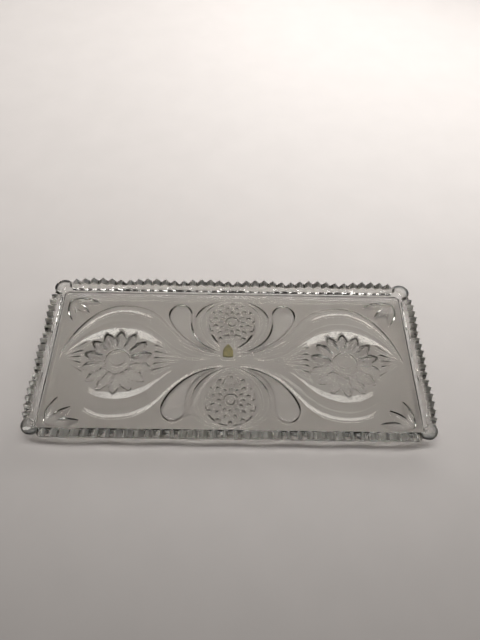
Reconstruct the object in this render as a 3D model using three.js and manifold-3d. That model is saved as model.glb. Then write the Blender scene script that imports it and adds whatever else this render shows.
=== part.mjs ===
// A pressed-glass serving tray. The floor is flat on top and carries its relief on the underside: two large
// eye medallions with stars, two small ovals, four petals and four corner sprigs. A low wall on each side
// ends in a scalloped sawtooth lip, the corners are plain round lobes, and a label sits near the middle.
// Millimetres, +Z up, origin at the middle of the base, X along the length, the front side at -Y.

import * as THREE from 'three';
import { mergeVertices } from 'three/addons/utils/BufferGeometryUtils.js';
import Module from 'manifold-3d';

const wasm = await Module();
wasm.setup();

// Plan and floor
const lipLength = 291; // over the corner lobes
const lipWidth = 135; // over the corner lobes
const cornerRadius = 10; // from the lip line in to the floor slab
const floorThickness = 5;

// Wall section: insets run inwards from the lip line, heights up from the base
const baseInset = 5.8;
const baseRise = 3.6; // height of the bevel from the base to the outer wall
const outerWallInset = 6.2;
const brimHeight = 6.4; // the brim's level underside
const flareInset = 1; // foot of the flared edge under the teeth
const footInset = 7.9;
const landInset = 6.7;
const landHeight = 11.2;
const landOuterHeight = 9.8; // where the land meets the teeth, between two scallops
const landTilt = 0.8; // share of a scallop's rise that the land follows
const gableLean = 0.3;

// Sawtooth lip: V notches across the brim leave a row of small roofs
const toothHeight = 13.5; // ridges in the dips between scallops
const toothDepth = 3.6;
const toothReach = 0.4; // past the lip line
const toothLength = 5.4;
const scallopReach = 0.4;
const scallopRise = 2.5;
const longScallops = 6;
const shortScallops = 3;
const teethPerScallop = 6;

// Corner lobes: round discs on the brim
const lobeRadius = 7.6;
const lobeOffset = 2.4; // from the floor's corner to the disc's middle, along each side
const lobeUnderside = 9.6;
const lobeTop = 14;
const lobeRound = 1.8;
const lobeStep = 6; // inset of the disc's inner edge
const lobeLand = 11.5;
const lobeRun = 2.7; // from the floor's corner to the nearest tooth
const lobeFlank = 1.9; // part of that run which the disc fills
const innerCornerFill = 1;
const lobeSteps = 10;

// Eye medallions, seen in plan
const eyeTipMargin = 1.9; // from the end of the floor to the outer point
const eyeLength = 45.6; // from the outer point to the widest place
const eyeHalfHeight = 50;
const eyeMidHalfHeight = 42;
const eyeLineHalfHeight = 36.5;
const eyeInnerHalfHeight = 32;
const eyeTailX = 4;
const eyeTailY = 6;
const eyeMidTailY = 3.4;
const eyeLineTailY = 2.2;
const eyeInnerTailY = 1.2;
const eyeTipSpacing = 0.7; // between the points of the four outlines
const eyeBandDepth = 2.2;
const eyeLineDepth = 1.5; // depth of the two narrower flutes inside

// Star and rays inside an eye
const starPoints = 14;
const starInner = 12.5;
const starOuter = 28;
const starHalfWidth = 2.6;
const starDepth = 2.3;
const gapInner = 14;
const gapOuter = 23;
const gapHalfWidth = 1.3;
const gapDepth = 1.4;
const buttonInner = 6.4;
const buttonOuter = 11.4;
const buttonDepth = 1.6;
const rayCount = 5;
const tipRayInner = 3;
const tipRayOuter = 18.5;
const tipRayAngle = THREE.MathUtils.degToRad(15);
const tipRayHalfWidth = 1.7;
const stemRayX = 31; // where the rays of the inner point meet
const stemRayInner = 3;
const stemRayOuter = 30;
const stemRayAngle = THREE.MathUtils.degToRad(10.5);
const stemRayHalfWidth = 2;
const rayDepth = 1.8;

// Small ovals
const ovalEndMargin = 0.6; // from the side of the floor to the round end
const ovalHalfWidth = 30;
const ovalInnerHalfWidth = 18.7;
const ovalLength = 51;
const ovalInnerLength = 45;
const ovalBorder = 3; // border width at the round end
const ovalSideDrop = 20; // from the round end to the widest place
const ovalTailX = 3;
const ovalInnerTailX = 1.5;
const ovalDepth = 2;
const ovalRays = 12;
const ovalRayInner = 6.6;
const ovalRayOuter = 14.2;
const ovalRayHalfWidth = 1.7;
const ovalRayDepth = 1.6;
const ovalHubDrop = 22.5; // from the round end to the middle of the small star
const hubInner = 2.6;
const hubOuter = 5.8;
const hubDepth = 1.3;

// Petals
const petalX = 42;
const petalEndMargin = 6.2; // from the side of the floor to the round end
const petalRadius = 10;
const petalRootX = 9;
const petalRootY = 7;
const petalDepth = 1.4;

// Corner sprigs: three leaves fanned from one point near each floor corner
const sprigInsetX = 1.8;
const sprigInsetY = 3;
const leafLengths = [26, 22.5, 22.5];
const leafAngles = [186, 218, 254].map(THREE.MathUtils.degToRad);
const leafHalfWidth = 3.3;
const leafDepth = 1.8;

// Label and the recess that it is stuck in
const labelWidth = 7.9;
const labelLength = 12.2;
const labelCorner = 1.6;
const labelShoulder = 5; // from its front edge to where the sides lean in to the point
const labelThickness = 0.25;
const labelX = -2.7;
const labelY = 8.5;
const recessDepth = 0.6;
const recessClearance = 0.4;

const floorLength = lipLength - 2 * cornerRadius;
const floorWidth = lipWidth - 2 * cornerRadius;
const below = 1; // how far a cutter starts under the base
const ringSides = 24;

// Shares that bend the free-form outlines: each is a part of the span that it pulls on
const ogeeBend = { tipBack: 0.2, tipUp: 0.52, crownOut: 0.43, crownIn: 0.33, tailRun: 0.48, tailRise: 0.14 };
const ovalBend = { tailOut: 0.55, tailRise: 0.14, sideDrop: 0.3, sideRise: 0.58, topOut: 0.5 };
const petalBend = { rootBack: 0.9, lowEdge: 0.1, highEdge: 0.8 };
const quarterArc = 0.5523; // handle of a curve that follows a quarter circle

const glass = new THREE.MeshStandardMaterial({ color: 0xdde2e0, roughness: 0.06, metalness: 0 });
const foil = new THREE.MeshStandardMaterial({ color: 0x756b45, roughness: 0.45, metalness: 0.3 });

// Joins shared vertices, drops collapsed triangles and turns the faces outwards.
function closed(geometry) {
  geometry.deleteAttribute('normal');
  geometry.deleteAttribute('uv');
  const merged = mergeVertices(geometry);
  const index = Array.from(merged.index.array);
  const at = (i) => new THREE.Vector3().fromBufferAttribute(merged.attributes.position, i);
  const faces = [];
  let volume = 0;
  for (let i = 0; i < index.length; i += 3) {
    const [a, b, c] = index.slice(i, i + 3);
    if (a === b || b === c || c === a) continue;
    faces.push([a, b, c]);
    volume += at(a).dot(at(b).cross(at(c)));
  }
  merged.setIndex(faces.flatMap(([a, b, c]) => (volume > 0 ? [a, b, c] : [a, c, b])));
  return merged;
}

// Skins a row of outlines, one at each station, and caps both ends.
function loft(outlines, place) {
  const count = outlines[0].length;
  const corners = outlines.flatMap((outline, k) => outline.map((v) => place(k, v)));
  const index = [];
  for (let k = 0; k + 1 < outlines.length; k += 1) {
    for (let j = 0; j < count; j += 1) {
      const [a, b] = [k * count + j, k * count + ((j + 1) % count)];
      index.push(a, b, a + count, b, b + count, a + count);
    }
  }
  const last = (outlines.length - 1) * count;
  for (const [a, b, c] of THREE.ShapeUtils.triangulateShape(outlines[0], [])) index.push(a, c, b);
  for (const [a, b, c] of THREE.ShapeUtils.triangulateShape(outlines.at(-1), [])) {
    index.push(last + a, last + b, last + c);
  }
  const geometry = new THREE.BufferGeometry().setFromPoints(corners);
  geometry.setIndex(index);
  return closed(geometry);
}

function solid(geometry) {
  const vertProperties = new Float32Array(geometry.attributes.position.array);
  const triVerts = new Uint32Array(geometry.index.array);
  return new wasm.Manifold(new wasm.Mesh({ numProp: 3, vertProperties, triVerts }));
}

function surface(body) {
  const { vertProperties, triVerts } = body.getMesh();
  const geometry = new THREE.BufferGeometry();
  geometry.setAttribute('position', new THREE.BufferAttribute(vertProperties, 3));
  geometry.setIndex(new THREE.BufferAttribute(triVerts, 1));
  return geometry;
}

function piece(name, geometry, material) {
  geometry.computeVertexNormals();
  const mesh = new THREE.Mesh(geometry, material);
  mesh.name = name;
  return mesh;
}

const vec = (x, y) => new THREE.Vector2(x, y);

// The wall's outline at one station, going round from the base. x runs outwards from the lip line.
function wallSection({ flareFoot, flareHeight, outer, inner, top, land, fill = 0 }) {
  return [
    vec(-cornerRadius, 0),
    vec(-baseInset, baseRise),
    vec(-outerWallInset, brimHeight),
    vec(flareFoot, flareHeight),
    vec(outer, top),
    vec(inner, top),
    vec(inner - gableLean, land),
    vec(-landInset - fill, landHeight),
    vec(-footInset - fill / 2, floorThickness),
    vec(-cornerRadius, floorThickness),
  ];
}

// The section on a tooth's ridge (sunk = 0) or in a notch (sunk = 1), at a place in the scallop.
function toothSection(crown, sunk) {
  const ridge = toothHeight + scallopRise * crown;
  const tip = toothReach + scallopReach * crown;
  const flare = (tip + flareInset) / (ridge - brimHeight);
  return wallSection({
    flareFoot: -flareInset,
    flareHeight: brimHeight,
    outer: tip - sunk * toothDepth * flare,
    inner: tip - toothLength,
    top: ridge - sunk * toothDepth,
    land: landOuterHeight + landTilt * scallopRise * crown,
  });
}

// The section of a corner disc whose edge stands so far out.
function lobeSection(outer, fill) {
  return wallSection({
    flareFoot: outer - lobeRound,
    flareHeight: lobeUnderside,
    outer,
    inner: -lobeStep,
    top: lobeTop,
    land: lobeLand,
    fill,
  });
}

// A straight wall along X with its outer side towards -Y. Ridges and notches take turns along each scallop,
// and the edges of the corner discs run in at both ends.
function wall(run, scallops) {
  const teeth = scallops * teethPerScallop;
  const flank = [0, lobeFlank].map((along) => {
    const discEdge = lobeOffset + Math.sqrt(lobeRadius ** 2 - (lobeOffset + along) ** 2);
    return { x: run / 2 - along, outline: lobeSection(discEdge - cornerRadius, 0) };
  });
  const stations = flank.map(({ x, outline }) => ({ x: -x, outline }));
  for (let k = 0; k <= 2 * teeth; k += 1) {
    const along = ((k / 2) % teethPerScallop) / teethPerScallop;
    const x = (run - 2 * lobeRun) * (k / (2 * teeth) - 0.5);
    stations.push({ x, outline: toothSection(Math.sin(Math.PI * along), (k + 1) % 2) });
  }
  stations.push(...flank.reverse());
  const outlines = stations.map(({ outline }) => outline);
  return loft(outlines, (k, v) => new THREE.Vector3(stations[k].x, -cornerRadius - v.x, v.y));
}

// A corner: sections turned a quarter round the floor's corner, out to the edge of the disc.
function corner() {
  const angles = Array.from({ length: lobeSteps + 1 }, (_, k) => ((k / lobeSteps - 1) * Math.PI) / 2);
  const outlines = angles.map((angle) => {
    const aside = angle + Math.PI / 4;
    const ahead = Math.SQRT2 * lobeOffset * Math.cos(aside);
    const across = Math.SQRT2 * lobeOffset * Math.sin(aside);
    const discEdge = ahead + Math.sqrt(lobeRadius ** 2 - across ** 2);
    return lobeSection(discEdge - cornerRadius, innerCornerFill * Math.cos(2 * aside));
  });
  return loft(outlines, (k, v) => {
    const radius = cornerRadius + v.x;
    return new THREE.Vector3(radius * Math.cos(angles[k]), radius * Math.sin(angles[k]), v.y);
  });
}

// Outlines across a cut: a sharp V, a round flute and a dish with a broad flat bottom.
const cutProfiles = {
  vee: [[0, 1]],
  flute: [[0.86, 0.4], [0.45, 0.85], [0, 1], [-0.45, 0.85], [-0.86, 0.4]],
  dish: [[0.9, 0.62], [0.72, 1], [-0.72, 1], [-0.9, 0.62]],
};

// A cut into the underside between two edges in plan. Its depth runs out where the edges meet.
function cut(edgeA, edgeB, { depth, profile, steps, spread = 1 }, [mirrorX, mirrorY] = [1, 1]) {
  const stations = Array.from({ length: steps + 1 }, (_, k) => [edgeA(k / steps), edgeB(k / steps)]);
  const widest = Math.max(...stations.map(([a, b]) => a.distanceTo(b)));
  const outlines = stations.map(([a, b]) => {
    const rise = depth * Math.min(1, (spread * a.distanceTo(b)) / widest);
    const upper = cutProfiles[profile].map(([u, share]) => vec(u, rise * share));
    return [vec(-1, 0), vec(-1, -below), vec(1, -below), vec(1, 0), ...upper];
  });
  return loft(outlines, (k, v) => {
    const [a, b] = stations[k];
    const x = (a.x + b.x + v.x * (b.x - a.x)) / 2;
    const y = (a.y + b.y + v.x * (b.y - a.y)) / 2;
    return new THREE.Vector3(mirrorX * x, mirrorY * y, v.y);
  });
}

// One edge made of several curves, each with an equal share of the run from 0 to 1.
function edge(...curves) {
  return (t) => {
    const k = Math.min(Math.floor(t * curves.length), curves.length - 1);
    return curves[k].getPoint(t * curves.length - k);
  };
}

const bezier = (a, b, c, d) => new THREE.CubicBezierCurve(a, b, c, d);

// A lens-shaped V cut from one point to another.
function lens(from, to, halfWidth, depth, mirror, steps = 5) {
  const middle = from.clone().add(to).multiplyScalar(0.5);
  const side = to.clone().sub(from).normalize().multiplyScalar(2 * halfWidth);
  const bow = (turn) => vec(middle.x - turn * side.y, middle.y + turn * side.x);
  const arc = (turn) => edge(new THREE.QuadraticBezierCurve(from, bow(turn), to));
  return cut(arc(1), arc(-1), { depth, profile: 'vee', steps }, mirror);
}

// A lens along a spoke of a star or fan.
function spoke(hub, angle, inner, outer, halfWidth, depth, mirror) {
  const way = vec(Math.cos(angle), Math.sin(angle));
  const at = (radius) => hub.clone().addScaledVector(way, radius);
  return lens(at(inner), at(outer), halfWidth, depth, mirror);
}

// A V-shaped ring cut round a point.
function ringCut(hub, inner, outer, depth, [mirrorX, mirrorY]) {
  const peak = vec((inner + outer) / 2, depth);
  const section = [vec(inner, 0), vec(inner, -below), vec(outer, -below), vec(outer, 0), peak];
  const ring = closed(new THREE.LatheGeometry([...section, section[0]], ringSides).rotateX(Math.PI / 2));
  return ring.translate(mirrorX * hub.x, mirrorY * hub.y, 0);
}

const eyeTipX = floorLength / 2 - eyeTipMargin;
const starHub = vec(eyeTipX - eyeLength, 0);

// One outline of an eye: from its outer point over the widest place, then an ogee tail to the middle.
function ogee(tipX, halfHeight, tailY) {
  const tip = vec(tipX, 0);
  const crown = vec(starHub.x, halfHeight);
  const tail = vec(eyeTailX, tailY);
  const head = tip.x - crown.x;
  const run = crown.x - tail.x;
  const fromTip = vec(tip.x - ogeeBend.tipBack * head, ogeeBend.tipUp * halfHeight);
  const toCrown = vec(crown.x + ogeeBend.crownOut * head, halfHeight);
  const fromCrown = vec(crown.x - ogeeBend.crownIn * run, halfHeight);
  const toTail = vec(tail.x + ogeeBend.tailRun * run, tailY + ogeeBend.tailRise * halfHeight);
  return edge(bezier(tip, fromTip, toCrown, crown), bezier(crown, fromCrown, toTail, tail));
}

function eyeBands(mirror) {
  const outlines = [
    ogee(eyeTipX, eyeHalfHeight, eyeTailY),
    ogee(eyeTipX - eyeTipSpacing, eyeMidHalfHeight, eyeMidTailY),
    ogee(eyeTipX - 2 * eyeTipSpacing, eyeLineHalfHeight, eyeLineTailY),
    ogee(eyeTipX - 3 * eyeTipSpacing, eyeInnerHalfHeight, eyeInnerTailY),
  ];
  const depths = [eyeBandDepth, eyeLineDepth, eyeLineDepth];
  const flute = { profile: 'flute', steps: 20, spread: 1.6 };
  return depths.map((depth, k) => cut(outlines[k], outlines[k + 1], { ...flute, depth }, mirror));
}

function eyeStar(mirror) {
  const cuts = [ringCut(starHub, buttonInner, buttonOuter, buttonDepth, mirror)];
  for (let k = 0; k < starPoints; k += 1) {
    const angle = Math.PI / 2 + (2 * Math.PI * k) / starPoints;
    const between = angle + Math.PI / starPoints;
    cuts.push(spoke(starHub, angle, starInner, starOuter, starHalfWidth, starDepth, mirror));
    cuts.push(spoke(starHub, between, gapInner, gapOuter, gapHalfWidth, gapDepth, mirror));
  }
  return cuts;
}

function eyeRays(mirror) {
  const cuts = [];
  const tip = vec(eyeTipX, 0);
  const stem = vec(stemRayX, 0);
  for (let k = 0; k < rayCount; k += 1) {
    const fan = k - (rayCount - 1) / 2;
    const inwards = Math.PI + fan * tipRayAngle;
    const outwards = fan * stemRayAngle;
    cuts.push(spoke(tip, inwards, tipRayInner, tipRayOuter, tipRayHalfWidth, rayDepth, mirror));
    cuts.push(spoke(stem, outwards, stemRayInner, stemRayOuter, stemRayHalfWidth, rayDepth, mirror));
  }
  return cuts;
}

const ovalTop = floorWidth / 2 - ovalEndMargin;

// One outline of an oval: up one side from its tail near the middle, over the round end and down again.
function ovalOutline(halfWidth, top, length, tailX) {
  const sideY = ovalTop - ovalSideDrop;
  const tailY = top - length;
  const half = (s) => [
    bezier(
      vec(s * tailX, tailY),
      vec(s * ovalBend.tailOut * halfWidth, tailY + ovalBend.tailRise * length),
      vec(s * halfWidth, sideY - ovalBend.sideDrop * length),
      vec(s * halfWidth, sideY),
    ),
    bezier(
      vec(s * halfWidth, sideY),
      vec(s * halfWidth, sideY + ovalBend.sideRise * (top - sideY)),
      vec(s * ovalBend.topOut * halfWidth, top),
      vec(0, top),
    ),
  ];
  const reverse = ({ v0, v1, v2, v3 }) => bezier(v3, v2, v1, v0);
  const [rise, over] = half(1);
  const [fall, back] = half(-1);
  return edge(rise, over, reverse(back), reverse(fall));
}

function oval(mirror) {
  const outer = ovalOutline(ovalHalfWidth, ovalTop, ovalLength, ovalTailX);
  const inner = ovalOutline(ovalInnerHalfWidth, ovalTop - ovalBorder, ovalInnerLength, ovalInnerTailX);
  const flute = { depth: ovalDepth, profile: 'flute', steps: 32, spread: 1.6 };
  const hub = vec(0, ovalTop - ovalHubDrop);
  const cuts = [cut(outer, inner, flute, mirror), ringCut(hub, hubInner, hubOuter, hubDepth, mirror)];
  for (let k = 0; k < ovalRays; k += 1) {
    const angle = Math.PI / 2 + (2 * Math.PI * k) / ovalRays;
    cuts.push(spoke(hub, angle, ovalRayInner, ovalRayOuter, ovalRayHalfWidth, ovalRayDepth, mirror));
  }
  return cuts;
}

// A petal: two edges that rise from the root beside the middle and meet in a round end.
function petal(mirror) {
  const endY = floorWidth / 2 - petalEndMargin;
  const shoulderY = endY - petalRadius;
  const root = vec(petalRootX, petalRootY);
  const end = vec(petalX, endY);
  const round = quarterArc * petalRadius;
  const flank = (s, firstY) => {
    const x = petalX + s * petalRadius;
    const shoulder = vec(x, shoulderY);
    const fromRoot = vec(petalX - petalBend.rootBack * petalRadius, firstY);
    const toShoulder = vec(x, shoulderY - petalRadius);
    return edge(
      bezier(root, fromRoot, toShoulder, shoulder),
      bezier(shoulder, vec(x, shoulderY + round), vec(petalX + s * round, endY), end),
    );
  };
  const dish = { depth: petalDepth, profile: 'dish', steps: 20, spread: 3 };
  const low = petalRootY + petalBend.lowEdge * petalRadius;
  const high = petalRootY + petalBend.highEdge * petalRadius;
  return cut(flank(1, low), flank(-1, high), dish, mirror);
}

function sprig(mirror) {
  const root = vec(floorLength / 2 - sprigInsetX, floorWidth / 2 - sprigInsetY);
  const leaf = (angle, k) => spoke(root, angle, 0, leafLengths[k], leafHalfWidth, leafDepth, mirror);
  return leafAngles.map(leaf);
}

function labelRecess() {
  const width = labelWidth + 2 * recessClearance;
  const length = labelLength + 2 * recessClearance;
  const box = new THREE.BoxGeometry(width, length, recessDepth + below);
  return closed(box.translate(labelX, labelY, (recessDepth - below) / 2));
}

function trayFloor() {
  const slab = new THREE.BoxGeometry(floorLength, floorWidth, floorThickness);
  slab.translate(0, 0, floorThickness / 2);
  const cuts = [labelRecess()];
  for (const side of [1, -1]) {
    cuts.push(...eyeStar([side, 1]), ...eyeRays([side, 1]), ...oval([1, side]));
    for (const mirror of [[side, 1], [side, -1]]) {
      cuts.push(...eyeBands(mirror), petal(mirror), ...sprig(mirror));
    }
  }
  return surface(cuts.reduce((body, cutter) => body.subtract(solid(cutter)), solid(closed(slab))));
}

// The label: a rounded front edge and two sides that lean in to a point at the back.
function label() {
  const [w, l, r] = [labelWidth / 2, labelLength / 2, labelCorner];
  const shoulder = labelShoulder - l;
  const outline = new THREE.Shape()
    .moveTo(-w + r, -l)
    .lineTo(w - r, -l)
    .quadraticCurveTo(w, -l, w, -l + r)
    .lineTo(w, shoulder)
    .quadraticCurveTo(w, (shoulder + l) / 2, 0, l)
    .quadraticCurveTo(-w, (shoulder + l) / 2, -w, shoulder)
    .lineTo(-w, -l + r)
    .quadraticCurveTo(-w, -l, -w + r, -l);
  const sheet = { depth: labelThickness, bevelEnabled: false, curveSegments: 4 };
  return closed(new THREE.ExtrudeGeometry(outline, sheet));
}

const tray = new THREE.Group();
tray.add(piece('tray_floor', trayFloor(), glass));

const sides = [
  { name: 'wall_front', run: floorLength, setback: floorWidth / 2, scallops: longScallops },
  { name: 'wall_right', run: floorWidth, setback: floorLength / 2, scallops: shortScallops },
  { name: 'wall_back', run: floorLength, setback: floorWidth / 2, scallops: longScallops },
  { name: 'wall_left', run: floorWidth, setback: floorLength / 2, scallops: shortScallops },
];
const corners = [
  { name: 'corner_front_right', x: 1, y: -1 },
  { name: 'corner_back_right', x: 1, y: 1 },
  { name: 'corner_back_left', x: -1, y: 1 },
  { name: 'corner_front_left', x: -1, y: -1 },
];
for (let k = 0; k < sides.length; k += 1) {
  const turn = (k * Math.PI) / 2;
  const { name, run, setback, scallops } = sides[k];
  const side = piece(name, wall(run, scallops), glass);
  side.rotation.z = turn;
  side.position.set(setback * Math.sin(turn), -setback * Math.cos(turn), 0);
  const lobe = piece(corners[k].name, corner(), glass);
  lobe.rotation.z = turn;
  lobe.position.set((corners[k].x * floorLength) / 2, (corners[k].y * floorWidth) / 2, 0);
  tray.add(side, lobe);
}

const sticker = piece('centre_label', label(), foil);
sticker.position.set(labelX, labelY, recessDepth - labelThickness);
tray.add(sticker);

export default tray;
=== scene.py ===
"""Dresses the pressed-glass tray: one body of glass with the relief under its floor, a label and a stage."""

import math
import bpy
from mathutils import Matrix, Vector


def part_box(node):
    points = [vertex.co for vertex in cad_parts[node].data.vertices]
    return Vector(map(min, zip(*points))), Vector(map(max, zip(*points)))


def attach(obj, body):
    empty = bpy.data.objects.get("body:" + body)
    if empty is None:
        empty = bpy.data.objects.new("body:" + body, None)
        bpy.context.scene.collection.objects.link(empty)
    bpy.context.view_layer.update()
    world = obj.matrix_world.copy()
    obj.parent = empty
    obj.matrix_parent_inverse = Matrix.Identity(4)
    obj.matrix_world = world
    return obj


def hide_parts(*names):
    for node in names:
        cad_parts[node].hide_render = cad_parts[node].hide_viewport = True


bl_info = {
    "name": "Crystal Tray",
    "version": (1, 0, 0),
    "blender": (4, 5, 0),
    "location": "View3D > Sidebar > Tray",
    "description": "Presses a glass tray with its relief, sticks its label on and sets a plain stage",
    "category": "Object",
}

import bpy
import numpy as np
from mathutils import Quaternion, Vector

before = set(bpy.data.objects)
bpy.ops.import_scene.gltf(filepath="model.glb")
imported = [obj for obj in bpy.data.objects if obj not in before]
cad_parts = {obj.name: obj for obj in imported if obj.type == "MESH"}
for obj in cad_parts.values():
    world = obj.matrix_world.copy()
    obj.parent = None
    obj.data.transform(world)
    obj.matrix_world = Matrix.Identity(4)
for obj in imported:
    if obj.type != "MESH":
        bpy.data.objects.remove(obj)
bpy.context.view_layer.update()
FLOOR_LOW, FLOOR_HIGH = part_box("tray_floor")
LABEL_LOW, LABEL_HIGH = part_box("centre_label")

MM = 0.001
FLOOR_HALF_LENGTH = FLOOR_HIGH.x
FLOOR_HALF_WIDTH = FLOOR_HIGH.y
FLOOR_TOP = FLOOR_HIGH.z
GLASS_NODES = sorted(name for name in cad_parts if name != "centre_label")
# Pixels on the picture's long side, and the sensor's width in millimetres.
IMAGE_LONG_SIDE = 640
SENSOR = 36.0


def length(name, description, millimetres):
    """A length property, kept in metres and written here in millimetres."""
    return bpy.props.FloatProperty(
        name=name, description=description, default=millimetres * MM, unit="LENGTH", precision=5
    )


def angle(name, description, degrees):
    """An angle property, kept in radians and written here in degrees."""
    return bpy.props.FloatProperty(
        name=name, description=description, default=math.radians(degrees), unit="ROTATION", subtype="ANGLE"
    )


def share(name, description, value):
    """A share from 0 to 1."""
    return bpy.props.FloatProperty(
        name=name, description=description, default=value, min=0, max=1, subtype="FACTOR", precision=4
    )


def number(name, description, value):
    """A plain number without a unit."""
    return bpy.props.FloatProperty(name=name, description=description, default=value, precision=4)


def count(name, description, value):
    """A whole number of repeats."""
    return bpy.props.IntProperty(name=name, description=description, default=value, min=1)


def position(name, description, millimetres):
    """A point, kept in metres and written here in millimetres."""
    return bpy.props.FloatVectorProperty(
        name=name,
        description=description,
        default=[each * MM for each in millimetres],
        unit="LENGTH",
        subtype="TRANSLATION",
    )


def colour(name, description, rgb):
    """A linear colour."""
    return bpy.props.FloatVectorProperty(
        name=name, description=description, default=rgb, size=3, min=0, max=1, subtype="COLOR"
    )


class RimSizes(bpy.types.PropertyGroup):
    """The wall's section, its saw teeth and the corner lobes. Insets run inwards from the lip line."""

    corner_radius: length("Corner radius", "From the lip line in to the edge of the floor slab", 10)
    base_inset: length("Base inset", "From the lip line in to the foot of the outer wall", 5.8)
    base_rise: length("Base rise", "How far the bevel under the wall rises from the base to that foot", 3.6)
    base_round: length("Base rounding", "Rounding where the bevel meets the outer wall", 1)
    outer_inset: length("Outer wall inset", "Inset of the outer wall under the brim", 6.2)
    outer_height: length("Outer wall height", "Height of the brim's level underside", 6.4)
    flare_inset: length("Flare inset", "From the lip line in to the foot of the flare under the teeth", 1)
    foot_inset: length("Inner foot inset", "Where the inner wall meets the floor", 7.9)
    foot_round: length("Inner foot fillet", "Fillet between the floor and the inner wall", 1.1)
    land_inset: length("Land inset", "Inner edge of the land behind the teeth", 6.7)
    land_height: length("Land height", "Height of the land's inner edge", 11.2)
    land_outer: length("Land outer height", "Height of the land at the teeth between two scallops", 10.2)
    edge_round: length("Edge rounding", "Fire-polished rounding of the edges", 0.35)
    tooth_inner: length("Tooth inner inset", "From the lip line in to the inner gable of a tooth", 5)
    tooth_outer: length("Tooth reach", "How far the outer end of a tooth stands out from the lip line", 0.4)
    tooth_height: length("Tooth height", "Height of a tooth's ridge between two scallops", 13.5)
    tooth_depth: length("Tooth depth", "Depth of the notch between two teeth", 3.6)
    scallop_reach: length("Scallop reach", "How far a scallop's crown stands out", 0.4)
    scallop_rise: length("Scallop rise", "How far a scallop's crown rises", 2.5)
    long_scallops: count("Long side scallops", "Scallops on each long side", 6)
    short_scallops: count("Short side scallops", "Scallops on each short side", 3)
    teeth: count("Teeth", "Teeth in one scallop", 6)
    tooth_steps: count("Tooth steps", "Surface divisions along one tooth", 10)
    lobe_run: length("Lobe run", "From the last tooth to the corner point", 2.7)
    lobe_offset: length("Lobe offset", "From the corner point out to the lobe's middle, along each side", 2.4)
    lobe_radius: length("Lobe radius", "Plan radius of the round lobe on a corner", 7.6)
    lobe_low: length("Lobe underside", "Height of the underside of a lobe's edge", 9.6)
    lobe_top: length("Lobe top", "Height of the top of a lobe", 14)
    lobe_round: length("Lobe rounding", "Rounding of a lobe's edge", 1.8)
    lobe_fill: length("Corner fill", "How far the inner corner is filled", 1)
    lobe_steps: count("Lobe steps", "Surface divisions round one corner", 16)
    flank_steps: count("Flank steps", "Surface divisions from the last tooth to the corner point", 4)


class EyeSizes(bpy.types.PropertyGroup):
    """One of the two large eye medallions, in plan."""

    tip_margin: length("Tip margin", "From the end of the floor slab to the outer point", 1.9)
    head_length: length("Head length", "From the outer point to the widest place", 45.6)
    half_height: length("Half height", "Half height of the outer outline", 50)
    mid_half_height: length("Middle half height", "Half height of the middle outline", 42)
    line_half_height: length("Line half height", "Half height of the outer edge of the inner flute", 35)
    inner_half_height: length("Inner half height", "Half height of the inner outline", 28.5)
    tip_spacing: length("Tip spacing", "Between the points of the outlines", 0.7)
    outer_depth: length("Outer flute depth", "Depth of the flute inside the outer outline", 1)
    mid_depth: length("Middle flute depth", "Depth of the faint hollow between the two flutes", 0.08)
    inner_depth: length("Inner cut depth", "Depth of the wide V along the inner outline", 1.45)
    vee_foot: share("V foot", "Where the wide V starts, as a share of the inner outline's height", 0.7)
    star_points: count("Star points", "Points of the star", 14)
    front_share: share("Front share", "Depth of the eye's front half, as a share of the back half's", 0.48)
    star_shift: length("Star shift", "Of the star's middle from the button's, to the back", -2)
    star_inner: length("Star inner radius", "Where an arch of the star starts", 10)
    star_outer: length("Star outer radius", "Where the point of an arch ends", 28)
    star_valley: length("Star valley radius", "Where two arches of the star meet", 20.5)
    star_hip: length("Star hip", "Over which an arch slopes up to its outline", 4)
    star_depth: length("Star depth", "Depth of an arch of the star", 2.7)
    gap_inner: length("Gap inner radius", "Where the small facet between two arches starts", 12.5)
    gap_outer: length("Gap outer radius", "Where the small facet between two arches ends", 20)
    gap_half_width: length("Gap half width", "Half width of the small facet", 2.2)
    gap_depth: length("Gap depth", "Depth of the small facet", 1)
    button_inner: length("Button inner radius", "Inner edge of the ring round the button", 5.6)
    button_outer: length("Button outer radius", "Outer edge of the ring round the button", 9.6)
    button_depth: length("Button depth", "Depth of the ring round the button", 0.7)
    rays: count("Rays", "Rays in each fan", 5)
    tip_ray_inner: length("Tip ray start", "From the outer point to the rays' start", 2)
    tip_ray_outer: length("Tip ray end", "From the outer point to the middle ray's end", 18.5)
    tip_ray_angle: angle("Tip ray angle", "Between two rays at the outer point", 17)
    tip_ray_half_width: length("Tip ray half width", "Half width of a ray at the outer point", 2.3)
    stem_x: length("Stem hub", "Where the rays of the inner point meet", 31)
    stem_ray_inner: length("Stem ray start", "From the stem hub to the rays' start", 3)
    stem_ray_outer: length("Stem ray end", "From the stem hub to the middle ray's end", 31)
    stem_ray_angle: angle("Stem ray angle", "Between two rays at the stem", 10.5)
    stem_ray_half_width: length("Stem ray half width", "Half width of a ray at the stem", 2.8)
    ray_depth: length("Ray depth", "Depth of the rays", 1.2)


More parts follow.
